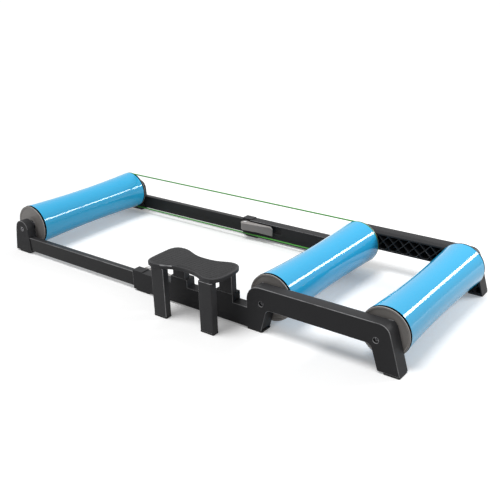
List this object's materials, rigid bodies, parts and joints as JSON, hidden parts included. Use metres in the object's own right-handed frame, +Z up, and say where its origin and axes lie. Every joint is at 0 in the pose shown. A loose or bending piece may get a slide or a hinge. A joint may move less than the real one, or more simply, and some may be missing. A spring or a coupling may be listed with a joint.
{
  "type": "bike rollers",
  "caption": "Indoor bicycle training rollers: waisted rollers in a low telescoping frame, a round drive belt along one side, clamp levers and a two-footed step.",
  "frame": {"origin": "on the floor, at the middle of the overall length and width", "axes": "+X along the length towards the two rear rollers, +Y towards the belt side, +Z up"},
  "size_m": [1.29, 0.5765, 0.1418],
  "materials": {
    "blue_plastic": "glossy",
    "grey_plastic": "satin",
    "black_plastic": "satin, finely textured",
    "black_metal": "satin black paint",
    "lever_plastic": "satin",
    "steel": "bright",
    "green_belt": "smooth",
    "black_rubber": "matt"
  },
  "bodies": {
    "rear_frame": {"rear_moulding_near": "black_plastic", "lever_pin_near": "steel", "clamp_shoe_near": "black_plastic", "rear_foot_near": "black_rubber", "middle_foot_near": "black_rubber", "mouth_foot_near": "black_rubber", "rear_moulding_far": "black_plastic", "lever_pin_far": "steel", "clamp_shoe_far": "black_plastic", "rear_foot_far": "black_rubber", "middle_foot_far": "black_rubber", "mouth_foot_far": "black_rubber", "middle_axle": "steel", "middle_axle_bolt_near": "steel", "middle_axle_bolt_far": "steel", "middle_spacer_near": "steel", "middle_spacer_far": "steel", "rear_axle": "steel", "rear_axle_bolt_near": "steel", "rear_axle_bolt_far": "steel", "rear_spacer_near": "steel", "rear_spacer_far": "steel", "drive_belt": "green_belt"},
    "front_frame": {"front_rail_near": "black_metal", "front_rail_far": "black_metal", "front_bracket_near": "black_plastic", "front_bracket_far": "black_plastic", "front_axle": "steel", "front_axle_bolt_near": "steel", "front_axle_bolt_far": "steel", "front_spacer_near": "steel", "front_spacer_far": "steel", "front_foot_near": "black_rubber", "front_foot_far": "black_rubber"},
    "front_roller": {"front_roller_tube": "blue_plastic", "front_end_cap_near": "grey_plastic", "front_end_cap_far": "grey_plastic", "front_bearing_near": "steel", "front_bearing_far": "steel"},
    "middle_roller": {"middle_roller_tube": "blue_plastic", "middle_end_cap_near": "grey_plastic", "middle_end_cap_far": "grey_plastic", "middle_bearing_near": "steel", "middle_bearing_far": "steel"},
    "rear_roller": {"rear_roller_tube": "blue_plastic", "rear_end_cap_near": "grey_plastic", "rear_end_cap_far": "grey_plastic", "rear_bearing_near": "steel", "rear_bearing_far": "steel"},
    "lever_near": {"clamp_lever_near": "lever_plastic"},
    "lever_far": {"clamp_lever_far": "lever_plastic"},
    "step": {"step_body": "black_plastic", "step_tread": "black_rubber", "step_foot_front": "black_rubber", "step_foot_rear": "black_rubber"}
  },
  "joints": [
    {"name": "reach_slide", "type": "slide", "parent": "rear_frame", "child": "front_frame", "axis": [1, 0, 0], "range_m": [-0.05, 0.25], "deforming": ["drive_belt"]},
    {"name": "front_roller_spin", "type": "hinge", "parent": "front_frame", "child": "front_roller", "pos_m": [-0.5855, 0.03825, 0.0745], "axis": [0, 1, 0], "continuous": true},
    {"name": "middle_roller_spin", "type": "hinge", "parent": "rear_frame", "child": "middle_roller", "pos_m": [0.2935, 0.03825, 0.0745], "axis": [0, 1, 0], "continuous": true},
    {"name": "rear_roller_spin", "type": "hinge", "parent": "rear_frame", "child": "rear_roller", "pos_m": [0.5855, 0.03825, 0.0745], "axis": [0, 1, 0], "continuous": true},
    {"name": "lever_near_turn", "type": "hinge", "parent": "rear_frame", "child": "lever_near", "pos_m": [-0.1015, -0.17055, 0.04125], "axis": [0, 0, 1], "range_deg": [0, 90]},
    {"name": "lever_far_turn", "type": "hinge", "parent": "rear_frame", "child": "lever_far", "pos_m": [-0.1015, 0.24705, 0.04125], "axis": [0, 0, -1], "range_deg": [0, 90]},
    {"name": "step_lift", "type": "slide", "parent": "rear_frame", "child": "step", "axis": [0, 0, 1], "range_m": [0, 0.12]}
  ],
  "couplings": [
    {"joint": "front_roller_spin", "follows": "middle_roller_spin", "ratio": 1}
  ]
}
